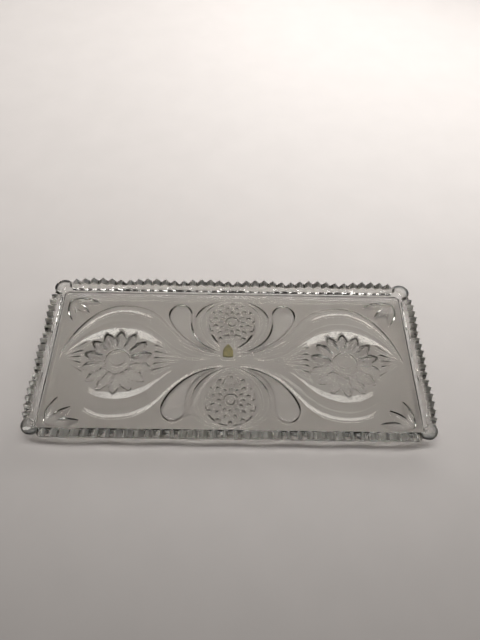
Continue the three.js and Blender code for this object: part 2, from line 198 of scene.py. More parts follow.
class OvalSizes(bpy.types.PropertyGroup):
    """One of the two small ovals, in plan."""

    end_margin: length("End margin", "From the side of the floor slab to the round end", 0.6)
    half_width: length("Half width", "Half width of the outer outline", 30)
    mid_half_width: length("Middle half width", "Half width of the middle outline", 24.5)
    inner_half_width: length("Inner half width", "Half width of the inner outline", 18.7)
    outer_length: length("Outer length", "Length of the outer outline", 51)
    mid_length: length("Middle length", "Length of the middle outline", 48)
    inner_length: length("Inner length", "Length of the inner outline", 45)
    border: length("Border", "Width of each of the two flutes at the round end", 1.3)
    side_drop: length("Side drop", "From the round end to the widest place", 20)
    tail_x: length("Tail half width", "Half width of the outer outline's tail", 3.5)
    depth: length("Border depth", "Depth of the flutes in the border", 1.4)
    hub_drop: length("Hub drop", "From the round end to the middle of the small star", 22.5)
    hub_inner: length("Hub inner radius", "Inner edge of the ring in the small star", 2.6)
    hub_outer: length("Hub outer radius", "Outer edge of the ring in the small star", 5.8)
    hub_depth: length("Hub depth", "Depth of the ring in the small star", 1)
    facets: count("Facets", "Facets in each ring of the small star", 12)
    facet_inner: length("Facet start", "Where the innermost ring of facets starts", 6)
    facet_length: length("Facet length", "Length of a facet", 6.4)
    facet_half_width: length("Facet half width", "Half width of a facet", 2.1)
    facet_depth: length("Facet depth", "Depth of a facet", 1.7)
    rays: count("Rays", "Rays in the fan at the tail", 5)
    ray_angle: angle("Ray angle", "Between two rays at the tail", 13)
    ray_length: length("Ray length", "Length of a ray at the tail", 15)
    ray_half_width: length("Ray half width", "Half width of a ray at the tail", 1.5)
    ray_depth: length("Ray depth", "Depth of a ray at the tail", 1.4)


class PetalSizes(bpy.types.PropertyGroup):
    """The four plain petals and the four corner sprigs, in plan."""

    x: length("Petal place", "Where a petal's round end is centred", 42)
    end_margin: length("Petal end margin", "From the side of the floor slab to the round end", 6.2)
    radius: length("Petal radius", "Radius of the round end", 10)
    root_x: length("Root X", "Where a petal starts beside the middle", 9)
    root_y: length("Root Y", "Where a petal starts beside the middle", 7)
    depth: length("Petal depth", "Depth of the dished petal", 1.8)
    sprig_inset_x: length("Sprig inset X", "From the end of the floor slab to the sprig's root", 1.8)
    sprig_inset_y: length("Sprig inset Y", "From the side of the floor slab to the sprig's root", 3)
    leaf_half_width: length("Leaf half width", "Half width of a sprig's leaf", 3.3)
    leaf_depth: length("Leaf depth", "Depth of a sprig's leaf", 2.1)
    leaf_edge: length("Leaf edge", "Over which a leaf's crisp edge slopes down", 0.8)


class GlassFinish(bpy.types.PropertyGroup):
    """The clear glass."""

    tint: colour("Tint", "Colour of the glass", (0.99, 0.99, 0.985))
    # Besides the glass's own faint tint, the depth tint and density are painted shade: they darken the glass
    # far beyond clear glass and stand in for the shadow on the table under the tray.
    depth_tint_and_painted_shade: colour("Depth tint", "Colour of the light that deep glass lets through", (0.3, 0.27, 0.2))
    depth_density_and_painted_shade: number("Depth density", "How fast the glass takes up light, to the metre", 73)
    ior: number("IOR", "Index of refraction", 1.55)
    polish: share("Roughness", "Roughness of the fire-polished surface", 0.01)
    haze: share("Haze", "Extra roughness in the smudged patches", 0.03)
    wave_height: length("Wave height", "Height of the mould's gentle waves", 0.03)
    wave_scale: number("Wave scale", "Waves to the metre", 55)
    tooth_grain: share("Grain of the teeth", "Share of the star's grain on the teeth", 0.85)
    sand_height: length("Grain height", "Height of the fine grain in the star and the ovals", 0.6)
    sand_scale: number("Grain scale", "Grains to the metre", 700)
    sand_haze: share("Tooth haze", "Extra roughness of the teeth", 0.3)


class LabelFinish(bpy.types.PropertyGroup):
    """The foil-faced label."""

    clearance: length("Clearance", "Between the label and the edge of its recess", 0.4)
    recess: length("Recess", "Depth of the recess in the underside", 0.6)
    corner: length("Corner", "Reach of the label's round front corners", 1.6)
    shoulder: length("Shoulder", "From the front edge to where the sides lean in to the point", 5)
    gold: colour("Gold", "Colour of the foil", (0.30, 0.25, 0.10))
    worn: colour("Worn gold", "Colour of the rubbed foil", (0.20, 0.18, 0.09))
    grain_scale: number("Grain scale", "Grains to the metre", 2600)


class StageSettings(bpy.types.PropertyGroup):
    """The floor, the lamps and the camera."""

    table: colour("Table", "Colour of the table", (0.465, 0.434, 0.414))
    table_half: length("Table half width", "Half width of the table", 6000)
    table_gap: length("Table gap", "Air between the glass and the table", 0.15)
    sky_low: colour("Horizon", "Light from the horizon", (0.13, 0.126, 0.12))
    sky_high: colour("Zenith", "Light from overhead", (0.21, 0.197, 0.184))
    lamp_power: number("Lamp power", "Factor on the power of all lamps", 1)
    camera: position("Camera", "Place of the camera", (0.8618, -202.9893, 360.8857))
    aim: position("Aim", "Point on the table at the middle of the picture", (6.4116, 39.0305, 0))
    roll: angle("Roll", "Tilt of the camera round its own axis", 2.0189)
    focal: number("Focal length", "Focal length in pixels of the picture", 530)


class TraySettings(bpy.types.PropertyGroup):
    """Everything that a user would change."""

    rim: bpy.props.PointerProperty(type=RimSizes)
    eye: bpy.props.PointerProperty(type=EyeSizes)
    oval: bpy.props.PointerProperty(type=OvalSizes)
    petal: bpy.props.PointerProperty(type=PetalSizes)
    glass: bpy.props.PointerProperty(type=GlassFinish)
    label: bpy.props.PointerProperty(type=LabelFinish)
    stage: bpy.props.PointerProperty(type=StageSettings)


CURVE_STEPS = 80
# Least width that a cut is divided by, and the run over which cuts fade in at the outline round them.
THINNEST = 0.01 * MM
SOFT_EDGE = 0.8 * MM


def bezier(a, b, c, d):
    """Points of a cubic curve: the Bernstein sum of its two ends a and d and its two handles b and c."""
    t = np.linspace(0, 1, CURVE_STEPS)[:, None]
    a, b, c, d = (np.array(point, float) for point in (a, b, c, d))
    return (1 - t) ** 3 * a + 3 * t * (1 - t) ** 2 * b + 3 * t**2 * (1 - t) * c + t**3 * d


def flute(u):
    """A round flute across a cut: one minus the square of u, which is -1 and 1 at its edges."""
    return np.clip(1 - u * u, 0, None)


DISH_WALL = 0.32


def dish(u):
    """A dish across a cut: flat in the middle, and a quarter wave up to the edge over a fixed share of u."""
    rise = np.clip((1 - np.abs(u)) / DISH_WALL, 0, 1)
    return np.sin(rise * math.pi / 2)


def facet(x, y, start, end, half_width, depth, swell):
    """A V cut from start to end. Its half width and depth follow swell, a function of the share along it."""
    way = np.subtract(end, start)
    span = np.hypot(*way)
    along = ((x - start[0]) * way[0] + (y - start[1]) * way[1]) / span**2
    across = ((y - start[1]) * way[0] - (x - start[0]) * way[1]) / span
    return depth * np.clip(swell(along) - np.abs(across) / half_width, 0, None)


def lens(s):
    """Swell of a leaf: 4s(1-s), round from point to point."""
    return 4 * s * (1 - s)


def kite(s):
    """Swell of a star point: straight up to the belly and down again, which makes a four-sided pyramid."""
    belly = 0.45
    return np.minimum(s / belly, (1 - s) / (1 - belly))


def wedge(s):
    """Swell of a ray: straight from its point to a blunt end."""
    blunt = 0.86
    return np.minimum(s / blunt, (1 - s) / (1 - blunt))


def spoke(x, y, hub, turn, inner, outer, half_width, depth, swell):
    """One facet along a spoke of a star or fan."""
    way = np.array((math.cos(turn), math.sin(turn)))
    return facet(x, y, hub + inner * way, hub + outer * way, half_width, depth, swell)


def star(x, y, hub, points, start, inner, outer, half_width, depth):
    """A full star: each place is folded into one sector by its angle's remainder, and cut by one spoke."""
    dx, dy = x - hub[0], y - hub[1]
    sector = 2 * math.pi / points
    turn = np.mod(np.arctan2(dy, dx) - start + sector / 2, sector) - sector / 2
    radius = np.hypot(dx, dy)
    folded = (radius * np.cos(turn), radius * np.sin(turn))
    return spoke(*folded, np.zeros(2), 0, inner, outer, half_width, depth, kite)


# Power by which an arch's outline falls from point to valley, and share of its depth lost at its side.
ARCH_POWER = 1.35
ARCH_FALL = 0.75


def arch_outline(x, y, hub, eye):
    """Radius, part t of the half sector from the nearest arch's middle line, and the star's outline there.

    The outline falls from the arch's point to the valley by t to the arch power, which draws a pointed arch.
    """
    dx, dy = x - hub[0], y - hub[1]
    sector = 2 * math.pi / eye.star_points
    turn = np.mod(np.arctan2(dy, dx) - math.pi / 2 + sector / 2, sector) - sector / 2
    part = np.abs(turn) / (sector / 2)
    outline = eye.star_valley + (eye.star_outer - eye.star_valley) * (1 - part**ARCH_POWER)
    return np.hypot(dx, dy), part, outline


def arches(x, y, hub, eye):
    """The star: a ring of pointed arches, each a roof along its middle line that slopes up to its outline."""
    radius, part, outline = arch_outline(x, y, hub, eye)
    hip = (outline - radius) / eye.star_hip
    start = (radius - eye.star_inner) / eye.star_hip
    return eye.star_depth * np.clip(np.minimum.reduce((hip, start, 1 - ARCH_FALL * part)), 0, None)


def fan(x, y, hub, middle, rays, step, inner, outer, spread, half_width, depth):
    """Rays from one point at equal steps of angle, each longer by spread times the square of its angle."""
    depths = []
    for k in range(rays):
        turn = (k - (rays - 1) / 2) * step
        reach = outer * (1 + spread * turn * turn)
        depths.append(spoke(x, y, hub, middle + turn, inner, reach, half_width, depth, wedge))
    return np.maximum.reduce(depths)


def ring(x, y, hub, inner, outer, depth):
    """A round flute bent into a ring round a point."""
    radius = np.hypot(x - hub[0], y - hub[1])
    return depth * flute((radius - (inner + outer) / 2) * 2 / (outer - inner))


# A gable's depth at its lip, the run of the wall beyond it and the power of its slope, and the greatest depth
# of a gable as a share of its width.
GABLE_LIP = 0.25
GABLE_WALL = 0.14
GABLE_POWER = 1.25
BAND_STEEPEST = 0.3


def gable(u):
    """A shallow V across a cut, with a crisp edge.

    It falls by u to the gable power from the middle to the lip's height, then by a steep wall to the edge.
    """
    slope = 1 - (1 - GABLE_LIP) * np.abs(u) ** GABLE_POWER
    return np.clip(np.minimum(slope, (1 - np.abs(u)) / GABLE_WALL), 0, None)


def band(u, width, depth):
    """A gable of that width: no deeper than depth, and no deeper than a fixed share of its width."""
    return np.minimum(depth, BAND_STEEPEST * width) * gable(u)


# Handles of an eye outline, as shares of its runs: behind the crown, at the flex, along and up from the tail.
CROWN_PULL = 0.55
FLEX_PULL = 0.2
TAIL_PULL = (0.5, 0.02)


def ogee(x, tip_x, crown_x, crown_y, nose, flex, slope, tail):
    """Height of an eye outline at x: three cubic curves from the point over crown and flex to the tail."""
    head, back, run = tip_x - crown_x, crown_x - flex[0], flex[0] - tail[0]
    over = bezier(
        (tip_x, 0),
        (tip_x - nose[0] * head, nose[1] * crown_y),
        (crown_x + nose[2] * head, crown_y),
        (crown_x, crown_y),
    )
    down = bezier(
        (crown_x, crown_y),
        (crown_x - CROWN_PULL * back, crown_y),
        (flex[0] + FLEX_PULL * back, flex[1] + FLEX_PULL * back * slope),
        flex,
    )
    out = bezier(
        flex,
        (flex[0] - FLEX_PULL * run, flex[1] - FLEX_PULL * run * slope),
        (tail[0] + TAIL_PULL[0] * run, tail[1] + TAIL_PULL[1] * run),
        tail,
    )
    line = np.vstack((over, down, out))[::-1]
    return np.interp(x, line[:, 0], line[:, 1])


# Handles of an outline's outer curve, as shares: back and up from the point, and out from the crown.
FULL_NOSE = (0.13, 0.54, 0.48)
SLIM_NOSE = (0.2, 0.52, 0.43)
EYE_FLEX_X = 53
# Nose, height at the flex, slope there and tail of each outline, from the outermost in, in millimetres.
EYE_LINES = (
    (FULL_NOSE, 34, 1.2, (5, 5.6)),
    (SLIM_NOSE, 24.5, 1.1, (5, 3.3)),
    (SLIM_NOSE, 18, 0.95, (12, 1.6)),
    (SLIM_NOSE, 13.5, 0.8, (30, 0.4)),
)
# Greatest depth of the wide V as a share of its width, the run over which cuts fade in from the middle of the
# tray, and how much longer the outer rays of the two fans are.
VEE_STEEPEST = 0.2
STEM_FADE = 6 * MM
TIP_SPREAD = 1.3
STEM_SPREAD = 0.8


def eye_relief(x, y, eye, front):
    """Depth of an eye medallion at |x|, |y|, and where its star has fine grain.

    Two gables and a wide V lie between ogees. The star's arches, gaps and button count inside its outline,
    and the gables, the V and two fans outside it.
    """
    tip_x = FLOOR_HALF_LENGTH - eye.tip_margin
    hub = np.array((tip_x - eye.head_length, 0))
    heights = (eye.half_height, eye.mid_half_height, eye.line_half_height, eye.inner_half_height)
    edges = [
        ogee(
            x,
            tip_x - k * eye.tip_spacing,
            hub[0],
            height,
            nose,
            (EYE_FLEX_X * MM, flex_y * MM),
            slope,
            (tail[0] * MM, tail[1] * MM),
        )
        for k, (height, (nose, flex_y, slope, tail)) in enumerate(zip(heights, EYE_LINES))
    ]
    depth = np.zeros_like(x)
    weight = np.where(front, eye.front_share, 1)
    fade = np.clip(x / STEM_FADE - 0.5, 0, 1) * weight
    for upper, lower, deep in zip(edges, edges[1:3], (eye.outer_depth, eye.mid_depth)):
        width = np.maximum(upper - lower, THINNEST)
        depth = np.maximum(depth, fade * band((2 * y - upper - lower) / width, width, deep))
    foot = eye.vee_foot * edges[3]
    span = np.maximum(edges[2] - edges[3], THINNEST)
    climb = (y - foot) / np.maximum(edges[3] - foot, THINNEST)
    vee = np.clip(np.minimum(climb, (edges[2] - y) / span), 0, 1)
    vee *= np.minimum(eye.inner_depth, VEE_STEEPEST * span)
    between = math.pi / 2 + math.pi / eye.star_points
    star_y = y * np.where(front, -1, 1)
    middle = hub + (0, eye.star_shift)
    points = weight * arches(x, star_y, middle, eye)
    gap = (eye.gap_inner, eye.gap_outer, eye.gap_half_width, eye.gap_depth)
    gaps = star(x, star_y, middle, eye.star_points, between, *gap)
    button = ring(x, y, hub, eye.button_inner, eye.button_outer, eye.button_depth)
    tip_ray = (eye.tip_ray_angle, eye.tip_ray_inner, eye.tip_ray_outer, TIP_SPREAD)
    tip_cut = (eye.tip_ray_half_width, eye.ray_depth)
    tip_fan = fan(x, y, np.array((tip_x, 0)), math.pi, eye.rays, *tip_ray, *tip_cut)
    stem_ray = (eye.stem_ray_angle, eye.stem_ray_inner, eye.stem_ray_outer, STEM_SPREAD)
    stem_cut = (eye.stem_ray_half_width, eye.ray_depth)
    stem_fan = fan(x, y, np.array((eye.stem_x, 0)), 0, eye.rays, *stem_ray, *stem_cut)
    inside = np.clip((edges[3] - y) / SOFT_EDGE, 0, 1)
    around = np.maximum.reduce((depth, fade * vee, inside * tip_fan, inside * stem_fan))
    radius, _, outline = arch_outline(x, star_y, middle, eye)
    starred = radius < outline
    depth = np.where(starred, np.maximum.reduce((points, gaps, button)), around)
    return depth, starred & (radius > eye.button_outer)


# Handles of an oval outline, as shares of its width and length: at the tail, below and above the side, and at
# the end.
OVAL_TAIL = (0.62, 0.1)
OVAL_SIDE = (0.3, 0.58)
OVAL_END = 0.5


def oval_outline(turn, centre_y, half_width, top, span, tail_x):
    """Radius of an oval outline at an angle round its centre: two cubic curves from tail to round end."""
    tail_y = top - span
    rise = bezier(
        (tail_x, tail_y),
        (OVAL_TAIL[0] * half_width, tail_y + OVAL_TAIL[1] * span),
        (half_width, centre_y - OVAL_SIDE[0] * span),
        (half_width, centre_y),
    )
    over = bezier(
        (half_width, centre_y),
        (half_width, centre_y + OVAL_SIDE[1] * (top - centre_y)),
        (OVAL_END * half_width, top),
        (0, top),
    )
    line = np.vstack((rise, over))
    turns = np.arctan2(line[:, 1] - centre_y, line[:, 0])
    return np.interp(turn, turns, np.hypot(line[:, 0], line[:, 1] - centre_y))


# Rings of facets, their pitch in facet lengths, a facet's swell in the first ring and its gain to the next,
# and how much longer the outer rays of the fan at the tail are.
FACET_ROWS = 3
FACET_PITCH = 0.72
FACET_SWELL = (0.75, 0.25)
TAIL_SPREAD = 0.2


def oval_relief(x, y, oval):
    """Depth of a small oval at |x|, |y|, and where it has fine grain.

    Two gables lie between three outlines. Inside them are rings of facets round a hub, and a fan at the tail.
    """
    top = FLOOR_HALF_WIDTH - oval.end_margin
    side_y = top - oval.side_drop
    radius = np.hypot(x, y - side_y)
    turn = np.arctan2(y - side_y, x)
    rows = (
        (oval.half_width, oval.outer_length),
        (oval.mid_half_width, oval.mid_length),
        (oval.inner_half_width, oval.inner_length),
    )
    edges = [
        oval_outline(turn, side_y, half_width, top - k * oval.border, span, oval.tail_x * (1 - k / len(rows)))
        for k, (half_width, span) in enumerate(rows)
    ]
    depth = np.zeros_like(x)
    for outer, inner in zip(edges, edges[1:]):
        width = np.maximum(outer - inner, THINNEST)
        depth = np.maximum(depth, band((2 * radius - outer - inner) / width, width, oval.depth))
    hub = np.array((0, top - oval.hub_drop))
    cuts = [ring(x, y, hub, oval.hub_inner, oval.hub_outer, oval.hub_depth)]
    for k in range(FACET_ROWS):
        start = math.pi / 2 + k * math.pi / oval.facets
        inner = oval.facet_inner + FACET_PITCH * k * oval.facet_length
        swollen = oval.facet_half_width * (FACET_SWELL[0] + FACET_SWELL[1] * k)
        cut = (inner, inner + oval.facet_length, swollen, oval.facet_depth)
        cuts.append(star(x, y, hub, oval.facets, start, *cut))
    tail = np.array((0, top - oval.inner_length - 2 * oval.border))
    ray = (oval.ray_angle, 0, oval.ray_length, TAIL_SPREAD, oval.ray_half_width, oval.ray_depth)
    cuts.append(fan(x, y, tail, math.pi / 2, oval.rays, *ray))
    inside = np.clip((edges[2] - radius) / SOFT_EDGE, 0, 1)
    return np.maximum(depth, inside * np.maximum.reduce(cuts)), inside


# Side and firmness of a petal's outer and inner flank, its greatest depth as a share of its width, and the
# reach of its root handle in radii.
PETAL_FLANKS = ((1, 0.1), (-1, 0.8))
PETAL_STEEPEST = 0.25
PETAL_LEAN = 0.9


def petal_flank(y, side, firm, petal):
    """Place of one flank of a petal at y: a cubic curve from root to shoulder, then a quarter circle."""
    end_y = FLOOR_HALF_WIDTH - petal.end_margin
    shoulder = (petal.x + side * petal.radius, end_y - petal.radius)
    rise = bezier(
        (petal.root_x, petal.root_y),
        (petal.x - PETAL_LEAN * petal.radius, petal.root_y + firm * petal.radius),
        (shoulder[0], shoulder[1] - petal.radius),
        shoulder,
    )
    turn = np.linspace(0, math.pi / 2, CURVE_STEPS)
    round_x = petal.x + side * petal.radius * np.cos(turn)
    round_y = shoulder[1] + petal.radius * np.sin(turn)
    return np.interp(y, np.append(rise[:, 1], round_y), np.append(rise[:, 0], round_x))


def petal_relief(x, y, petal):
    """Depth of a petal at |x|, |y|: a dish between its two flanks, as deep as its width allows."""
    low, high = (petal_flank(y, side, firm, petal) for side, firm in PETAL_FLANKS)
    width = np.maximum(low - high, THINNEST)
    end_y = FLOOR_HALF_WIDTH - petal.end_margin
    inside = (y > petal.root_y) & (y < end_y)
    return inside * np.minimum(petal.depth, PETAL_STEEPEST * width) * dish((2 * x - low - high) / width)


# Length in millimetres and direction in degrees of each leaf, and the share of its depth at the crisp edge.
LEAVES = ((26, 186), (22.5, 218), (22.5, 254))
LEAF_CRISP = 0.6


def sprig_relief(x, y, petal):
    """Depth of a corner sprig at |x|, |y|: three leaves fanned from one point, V cuts with a crisp edge."""
    root = np.array((FLOOR_HALF_LENGTH - petal.sprig_inset_x, FLOOR_HALF_WIDTH - petal.sprig_inset_y))
    half = petal.leaf_half_width
    leaves = [spoke(x, y, root, math.radians(turn), 0, leaf * MM, half, half, lens) for leaf, turn in LEAVES]
    room = np.clip(np.maximum.reduce(leaves), 0, None)
    return petal.leaf_depth * (
        LEAF_CRISP * np.minimum(room / petal.leaf_edge, 1) + (1 - LEAF_CRISP) * room / half
    )


def polish(depth):
    """Rounds the creases as fire polishing does: a mean with weights 1, 4 and 1 along x, then along y."""
    inner = depth.copy()
    inner[1:-1] = (depth[:-2] + 4 * depth[1:-1] + depth[2:]) / 6
    depth = inner.copy()
    depth[:, 1:-1] = (inner[:, :-2] + 4 * inner[:, 1:-1] + inner[:, 2:]) / 6
    return depth


# The run from the slab's edge in to the full relief, the run of the side of the label's recess, and the run
# from the recess out to the full relief.
SLAB_BORDER = 1.2 * MM
RECESS_SIDE = 2.4 * MM
RECESS_CALM = 5 * MM


def underside(x, y, tray):
    """Height of the underside, the deepest of all the cuts with the label's recess, and its fine grain."""
    fx, fy = np.abs(x), np.abs(y)
    eye, star_grain = eye_relief(fx, fy, tray.eye, y < 0)
    oval, oval_grain = oval_relief(fx, fy, tray.oval)
    cuts = (eye, oval, petal_relief(fx, fy, tray.petal), sprig_relief(fx, fy, tray.petal))
    margin = np.minimum(FLOOR_HALF_LENGTH - np.abs(x), FLOOR_HALF_WIDTH - np.abs(y))
    depth = polish(np.maximum.reduce(cuts)) * np.clip(margin / SLAB_BORDER, 0, 1)
    in_x = np.maximum(LABEL_LOW.x - x, x - LABEL_HIGH.x)
    in_y = np.maximum(LABEL_LOW.y - y, y - LABEL_HIGH.y)
    off = np.hypot(np.maximum(in_x, 0), np.maximum(in_y, 0)) - tray.label.clearance
    recess = np.clip(1 - off / RECESS_SIDE, 0, 1)
    fade = np.clip(off / RECESS_CALM, 0, 1)
    depth *= fade
    return depth + (tray.label.recess - depth) * recess, fade * np.maximum(star_grain, oval_grain)


CORNER_SHARE = 0.45


def round_corners(corners, radii):
    """Replaces each inner corner of a section by three points of a quadratic curve that cuts it off.

    The curve starts and ends a radius away along each edge, or at most the corner share of that edge.
    """
    before, here, after = corners[:, :-2], corners[:, 1:-1], corners[:, 2:]
    points = []
    for other in (before, after):
        reach = np.linalg.norm(other - here, axis=2, keepdims=True)
        points.append(here + (other - here) * np.minimum(radii[None, :, None] / reach, CORNER_SHARE))
    entry, leave = points
    middle = entry / 4 + here / 2 + leave / 4
    rounded = np.stack((entry, middle, leave), axis=2).reshape(len(corners), -1, 2)
    return np.concatenate((corners[:, :1], rounded, corners[:, -1:]), axis=1)


def wall_section(rim, rows, tip_round):
    """The wall's rounded outline at every station, from underside over lip to floor, with x outwards."""
    low_x, low_z, outer_x, inner_x, top_z, land_x, land_z, fill = rows
    same = np.ones_like(outer_x)
    corners = (
        (-rim.corner_radius * same, 0 * same),
        (-rim.base_inset * same, rim.base_rise * same),
        (-rim.outer_inset * same, rim.outer_height * same),
        (low_x, low_z),
        (outer_x, top_z),
        (inner_x, top_z),
        (land_x, land_z),
        (-rim.land_inset - fill, rim.land_height * same),
        (-rim.foot_inset - fill / 2, FLOOR_TOP * same),
        (-rim.corner_radius * same, FLOOR_TOP * same),
    )
    edge = rim.edge_round
    radii = np.array((rim.base_round, 3 * edge, 2 * edge, tip_round, tip_round, edge, edge, rim.foot_round))
    return round_corners(np.stack([np.stack(corner, axis=1) for corner in corners], axis=1), radii)


# Rounding of a tooth's edges, the step behind a tooth, the share of a scallop's rise that the land follows,
# and the least height of a tooth over the land.
TIP_ROUND = 0.12 * MM
LAND_STEP = 0.3 * MM
LAND_RISE = 0.8
TOOTH_LEAST = 0.05 * MM
# Points of the rounded section on the teeth's outer and inner edges.
TOOTH_CORNERS = (10, 12, 13, 15)


def lobe_rows(rim, outer):
    """Corners of a lobe's section whose edge stands so far out: a low domed disc on the brim."""
    same = np.ones_like(outer)
    inner = np.minimum(-rim.land_inset + 2 * rim.edge_round, outer - rim.lobe_round)
    low = np.maximum(outer - rim.lobe_round, -rim.outer_inset)
    land = (rim.land_height + LAND_STEP) * same
    return [low, rim.lobe_low * same, outer, inner, rim.lobe_top * same, inner - LAND_STEP, land]


def side_section(rim, scallops):
    """The wall's outline at every station of one side: roofed teeth on half sine waves, lobes at the ends."""
    k = np.arange(scallops * rim.teeth * rim.tooth_steps + 1)
    tooth = k / rim.tooth_steps
    crown = np.sin(math.pi * np.mod(tooth, rim.teeth) / rim.teeth)
    notch = rim.tooth_depth * np.abs(2 * np.mod(tooth, 1) - 1)
    rise, reach = rim.scallop_rise * crown, rim.scallop_reach * crown
    top = rim.tooth_height + rise - notch
    tip, inner = rim.tooth_outer + reach, reach - rim.tooth_inner
    flare = (tip + rim.flare_inset) / (rim.tooth_height + rise - rim.outer_height)
    outer = tip - notch * flare
    land = np.minimum(rim.land_outer + LAND_RISE * rise, top - TOOTH_LEAST)
    same = np.ones_like(top)
    rows = [-rim.flare_inset * same, rim.outer_height * same, outer, inner, top, inner - LAND_STEP, land]
    toothed = wall_section(rim, (*rows, 0 * top), TIP_ROUND)
    along = np.linspace(rim.lobe_run, 0, rim.flank_steps + 1)[1:]
    outer = lobe_outer(rim, along)
    flank = wall_section(rim, (*lobe_rows(rim, outer), 0 * outer), rim.lobe_round)
    return np.concatenate((flank[::-1], toothed, flank))


def lobe_outer(rim, back):
    """Reach of a lobe's edge over the lip line at a place so far back along a side from the corner point."""
    off = rim.lobe_offset + back
    return rim.lobe_offset + np.sqrt(np.maximum(rim.lobe_radius**2 - off**2, 0)) - rim.corner_radius


def lobe_section(rim):
    """The wall's outline at every inner station of a corner: the lobe's edge seen along each fanned way."""
    turn = np.arange(1, rim.lobe_steps) * math.pi / 2 / rim.lobe_steps
    far = rim.lobe_offset * (np.cos(turn) + np.sin(turn))
    side = rim.lobe_offset * (np.cos(turn) - np.sin(turn))
    outer = far + np.sqrt(rim.lobe_radius**2 - side**2) - rim.corner_radius
    return wall_section(rim, (*lobe_rows(rim, outer), rim.lobe_fill * np.sin(2 * turn)), rim.lobe_round)


def side_runs(rim, scallops, half_run):
    """Places of the stations along one side: even steps over the teeth, then a few to each corner point."""
    toothed = half_run - rim.lobe_run
    runs = np.linspace(-toothed, toothed, scallops * rim.teeth * rim.tooth_steps + 1)
    flank = np.linspace(half_run, toothed, rim.flank_steps + 1)[:-1]
    return np.concatenate((-flank, runs, flank[::-1]))


def rim_surface(rim):
    """The wall's section carried round the floor: straight along each side, turned at the corner points."""
    rows = []
    halves = (FLOOR_HALF_LENGTH, FLOOR_HALF_WIDTH)
    scallops = (rim.long_scallops, rim.short_scallops)
    lobe = lobe_section(rim)
    for side in range(4):
        half_run, setback = halves[side % 2], halves[1 - side % 2]
        turn = side * math.pi / 2
        along = np.array((math.cos(turn), math.sin(turn)))
        outward = np.array((math.sin(turn), -math.cos(turn)))
        section = side_section(rim, scallops[side % 2])
        foot = side_runs(rim, scallops[side % 2], half_run)[:, None] * along + setback * outward
        rows.append(carry(section, foot, np.tile(outward, (len(section), 1)), rim))
        turns = np.arange(1, rim.lobe_steps)[:, None] * math.pi / 2 / rim.lobe_steps
        fanned = np.cos(turns) * outward + np.sin(turns) * along
        pivot = np.tile(half_run * along + setback * outward, (len(lobe), 1))
        rows.append(carry(lobe, pivot, fanned, rim))
    return np.concatenate(rows)


def tooth_creases(skin, rim):
    """Edges that stay crisp: along the teeth's edges, and across each tooth at its ridge and notches."""
    marks = []
    for scallops in (rim.long_scallops, rim.short_scallops) * 2:
        steps = np.arange(scallops * rim.teeth * rim.tooth_steps + 1)
        pad = np.full(rim.flank_steps, -1)
        marks.append(np.concatenate((pad, steps, pad, np.full(rim.lobe_steps - 1, -1))))
    steps = np.concatenate(marks)
    run = (steps[:-1] >= 0) & (steps[1:] >= 0)
    crossed = (steps >= 0) & (np.mod(2 * steps, rim.tooth_steps) == 0)
    pairs = [np.stack((skin[:-1][run, corner], skin[1:][run, corner]), 1) for corner in TOOTH_CORNERS]
    rows = skin[crossed, TOOTH_CORNERS[0] - 3 : TOOTH_CORNERS[-1] + 4]
    pairs.append(np.stack((rows[:, :-1], rows[:, 1:]), 2).reshape(-1, 2))
    return np.concatenate(pairs)


def carry(section, foot, outward, rim):
    """Places each station's outline: its foot plus its reach along the outward way, at its own height."""
    reach = section[:, :, 0] + rim.corner_radius
    plan = foot[:, None, :] + reach[:, :, None] * outward[:, None, :]
    return np.dstack((plan, section[:, :, 1]))


def boundary(across, down, steps):
    """Grid places round the floor's edge, in the rim's order, with each corner repeated for its lobe."""
    i, j = np.arange(across + 1), np.arange(down + 1)
    sides = ((i, 0 * i), (0 * j + across, j), (i[::-1], 0 * i + down), (0 * j, j[::-1]))
    rows = []
    for columns, lines in sides:
        rows.append(np.append(columns, np.full(steps - 1, columns[-1])))
        rows.append(np.append(lines, np.full(steps - 1, lines[-1])))
    return np.concatenate(rows[0::2]), np.concatenate(rows[1::2])


def split(quads):
    """Two triangles for each four-cornered face, without those that a collapsed corner leaves empty."""
    faces = np.concatenate((quads[:, [0, 1, 2]], quads[:, [0, 2, 3]]))
    a, b, c = faces.T
    return faces[(a != b) & (b != c) & (c != a)]


def grid_faces(height, index):
    """Downward triangles of the underside grid, split along the diagonal whose ends are nearest in height."""
    a, b, c, d = (m.ravel() for m in (index[:-1, :-1], index[:-1, 1:], index[1:, 1:], index[1:, :-1]))
    level = height.ravel()
    straight = np.abs(level[a] - level[c]) <= np.abs(level[b] - level[d])
    first = np.where(straight[:, None], np.stack((a, b, c), 1), np.stack((b, c, d), 1))
    second = np.where(straight[:, None], np.stack((a, c, d), 1), np.stack((b, d, a), 1))
    return np.concatenate((first, second))


def top_faces(ring_at, across, down):
    """Upward triangles of the flat floor: strips from the front to the back, and a fan along each end."""
    front, back = ring_at[1:across, 0], ring_at[1:across, down]
    strips = split(np.stack((front[:-1], front[1:], back[1:], back[:-1]), 1))
    left, right = ring_at[0], ring_at[across]
    fans = [
        np.stack((np.full(down, front[0]), left[1:], left[:-1]), 1),
        np.stack((np.full(down, front[-1]), right[:-1], right[1:]), 1),
        np.array([(front[0], back[0], left[-1]), (front[-1], right[-1], back[-1])]),
    ]
    return np.concatenate((strips, *fans))


# Height over the land in which the teeth turn frosty.
FROST_RISE = 2 * MM


